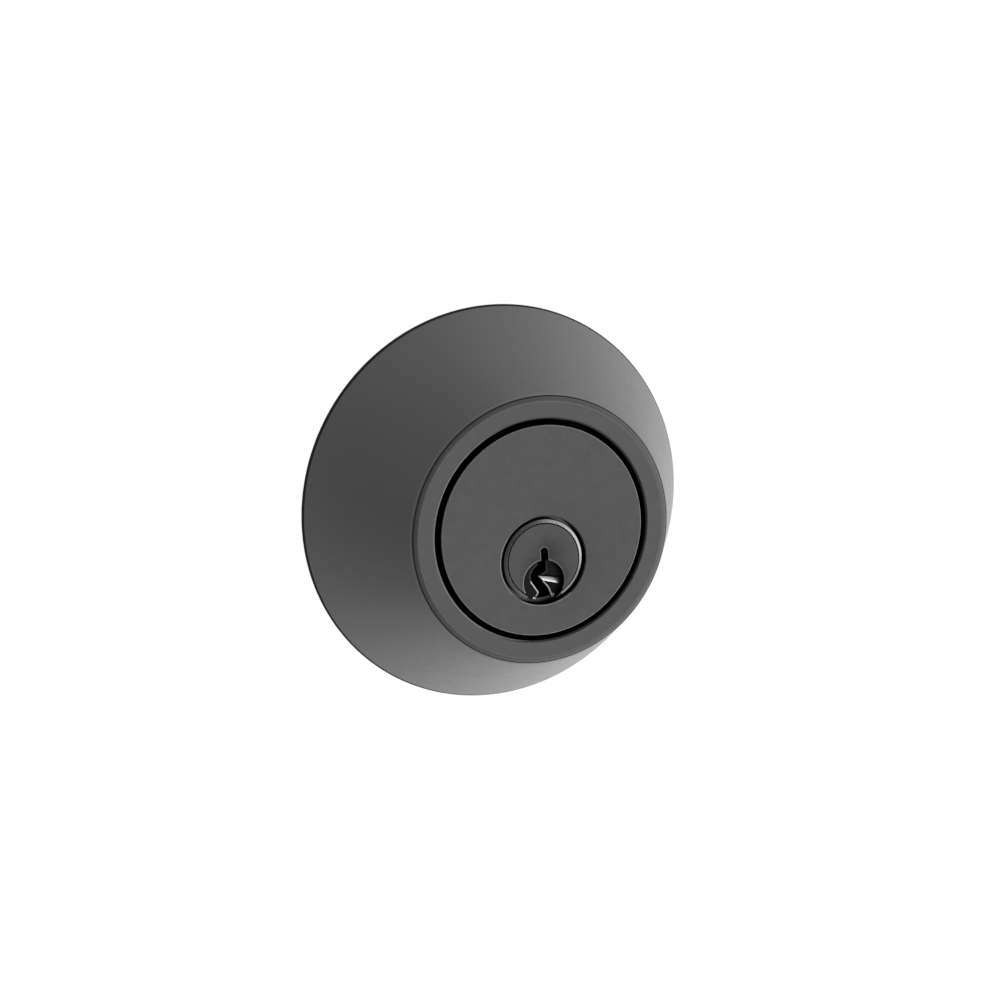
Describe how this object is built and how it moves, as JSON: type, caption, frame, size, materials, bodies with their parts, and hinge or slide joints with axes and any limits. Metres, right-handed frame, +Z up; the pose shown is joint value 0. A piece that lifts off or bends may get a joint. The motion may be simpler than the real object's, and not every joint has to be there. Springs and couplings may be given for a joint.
{
  "type": "deadbolt door lock",
  "caption": "Single-cylinder deadbolt with a dark conical outside collar and keyed plug, sliding bolt with faceplate, and inside thumbturn, bolt retracted.",
  "frame": {"origin": "centre of the cross bore in the plane of the door's outside face", "axes": "+X towards the door's edge, the way the bolt is thrown; +Y through the door to the inside; +Z up"},
  "size_m": [0.0925, 0.0965, 0.065],
  "materials": {
    "dark_trim": "matte dark grey",
    "dark_plug": "satin dark grey",
    "brass": "turned",
    "steel": "satin",
    "spring_steel": "drawn wire",
    "zinc_plated": "zinc plated"
  },
  "bodies": {
    "lock_on_door": {"outer_rose": "dark_trim", "cylinder_body": "dark_trim", "pin_chamber_cover": "brass", "anti_drill_pin_1": "steel", "anti_drill_pin_2": "steel", "driver_spring_1": "spring_steel", "driver_spring_2": "spring_steel", "driver_spring_3": "spring_steel", "driver_spring_4": "spring_steel", "driver_spring_5": "spring_steel", "cylinder_mounting_plate": "zinc_plated", "cylinder_plate_screw_1": "zinc_plated", "cylinder_plate_screw_2": "zinc_plated", "mounting_screw_1": "zinc_plated", "mounting_screw_2": "zinc_plated", "case_half_outer": "zinc_plated", "case_half_inner": "zinc_plated", "case_rivet_1": "steel", "case_rivet_2": "steel", "case_rivet_3": "steel", "bolt_guide_tube": "zinc_plated", "faceplate": "dark_trim", "faceplate_screw_1": "dark_trim", "faceplate_screw_2": "dark_trim", "inner_mounting_plate": "zinc_plated", "inner_rose": "dark_trim", "inner_rose_set_screw": "zinc_plated"},
    "bolt_and_slide": {"bolt": "zinc_plated", "anti_saw_pin": "steel", "bolt_link_pin": "steel", "bolt_slide": "steel"},
    "crank": {"bolt_crank": "zinc_plated"},
    "plug_and_tailpiece": {"key_plug": "dark_plug", "plug_retaining_clip": "steel", "plug_cap": "steel", "tailpiece": "steel"},
    "thumbturn_set": {"thumbturn": "dark_trim", "thumbturn_wave_washer": "steel", "thumbturn_retaining_ring": "steel"},
    "key_pin_1_body": {"key_pin_1": "brass"},
    "key_pin_2_body": {"key_pin_2": "brass"},
    "key_pin_3_body": {"key_pin_3": "brass"},
    "key_pin_4_body": {"key_pin_4": "brass"},
    "key_pin_5_body": {"key_pin_5": "brass"},
    "driver_pin_1_body": {"driver_pin_1": "brass"},
    "driver_pin_2_body": {"driver_pin_2": "brass"},
    "driver_pin_3_body": {"driver_pin_3": "brass"},
    "driver_pin_4_body": {"driver_pin_4": "brass"},
    "driver_pin_5_body": {"driver_pin_5": "brass"}
  },
  "joints": [
    {"name": "bolt_throw", "type": "slide", "parent": "lock_on_door", "child": "bolt_and_slide", "axis": [1, 0, 0], "range_m": [0, 0.0254]},
    {"name": "crank_turn", "type": "hinge", "parent": "lock_on_door", "child": "crank", "pos_m": [0, 0.02225, -0.00635], "axis": [0, 1, 0], "range_deg": [0, 90]},
    {"name": "cylinder_turn", "type": "hinge", "parent": "lock_on_door", "child": "plug_and_tailpiece", "pos_m": [0, -0.0229, -0.00635], "axis": [0, 1, 0], "range_deg": [0, 90]},
    {"name": "thumbturn_turn", "type": "hinge", "parent": "lock_on_door", "child": "thumbturn_set", "pos_m": [0, 0.0535, -0.00635], "axis": [0, 1, 0], "range_deg": [0, 90]},
    {"name": "key_pin_1_drop", "type": "slide", "parent": "plug_and_tailpiece", "child": "key_pin_1_body", "axis": [0, 0, -1], "range_m": [0, 0.002]},
    {"name": "key_pin_2_drop", "type": "slide", "parent": "plug_and_tailpiece", "child": "key_pin_2_body", "axis": [0, 0, -1], "range_m": [0, 0.002]},
    {"name": "key_pin_3_drop", "type": "slide", "parent": "plug_and_tailpiece", "child": "key_pin_3_body", "axis": [0, 0, -1], "range_m": [0, 0.002]},
    {"name": "key_pin_4_drop", "type": "slide", "parent": "plug_and_tailpiece", "child": "key_pin_4_body", "axis": [0, 0, -1], "range_m": [0, 0.002]},
    {"name": "key_pin_5_drop", "type": "slide", "parent": "plug_and_tailpiece", "child": "key_pin_5_body", "axis": [0, 0, -1], "range_m": [0, 0.002]},
    {"name": "driver_pin_1_lift", "type": "slide", "parent": "lock_on_door", "child": "driver_pin_1_body", "axis": [0, 0, 1], "range_m": [0, 0.002], "stiffness_N_per_m": 60, "springref_m": -0.001, "deforming": ["driver_spring_1"]},
    {"name": "driver_pin_2_lift", "type": "slide", "parent": "lock_on_door", "child": "driver_pin_2_body", "axis": [0, 0, 1], "range_m": [0, 0.002], "stiffness_N_per_m": 60, "springref_m": -0.001, "deforming": ["driver_spring_2"]},
    {"name": "driver_pin_3_lift", "type": "slide", "parent": "lock_on_door", "child": "driver_pin_3_body", "axis": [0, 0, 1], "range_m": [0, 0.002], "stiffness_N_per_m": 60, "springref_m": -0.001, "deforming": ["driver_spring_3"]},
    {"name": "driver_pin_4_lift", "type": "slide", "parent": "lock_on_door", "child": "driver_pin_4_body", "axis": [0, 0, 1], "range_m": [0, 0.002], "stiffness_N_per_m": 60, "springref_m": -0.001, "deforming": ["driver_spring_4"]},
    {"name": "driver_pin_5_lift", "type": "slide", "parent": "lock_on_door", "child": "driver_pin_5_body", "axis": [0, 0, 1], "range_m": [0, 0.002], "stiffness_N_per_m": 60, "springref_m": -0.001, "deforming": ["driver_spring_5"]}
  ],
  "couplings": [
    {"joint": "crank_turn", "follows": "bolt_throw", "rad_per_m": 61.842},
    {"joint": "cylinder_turn", "follows": "bolt_throw", "rad_per_m": 61.842},
    {"joint": "thumbturn_turn", "follows": "bolt_throw", "rad_per_m": 61.842}
  ]
}
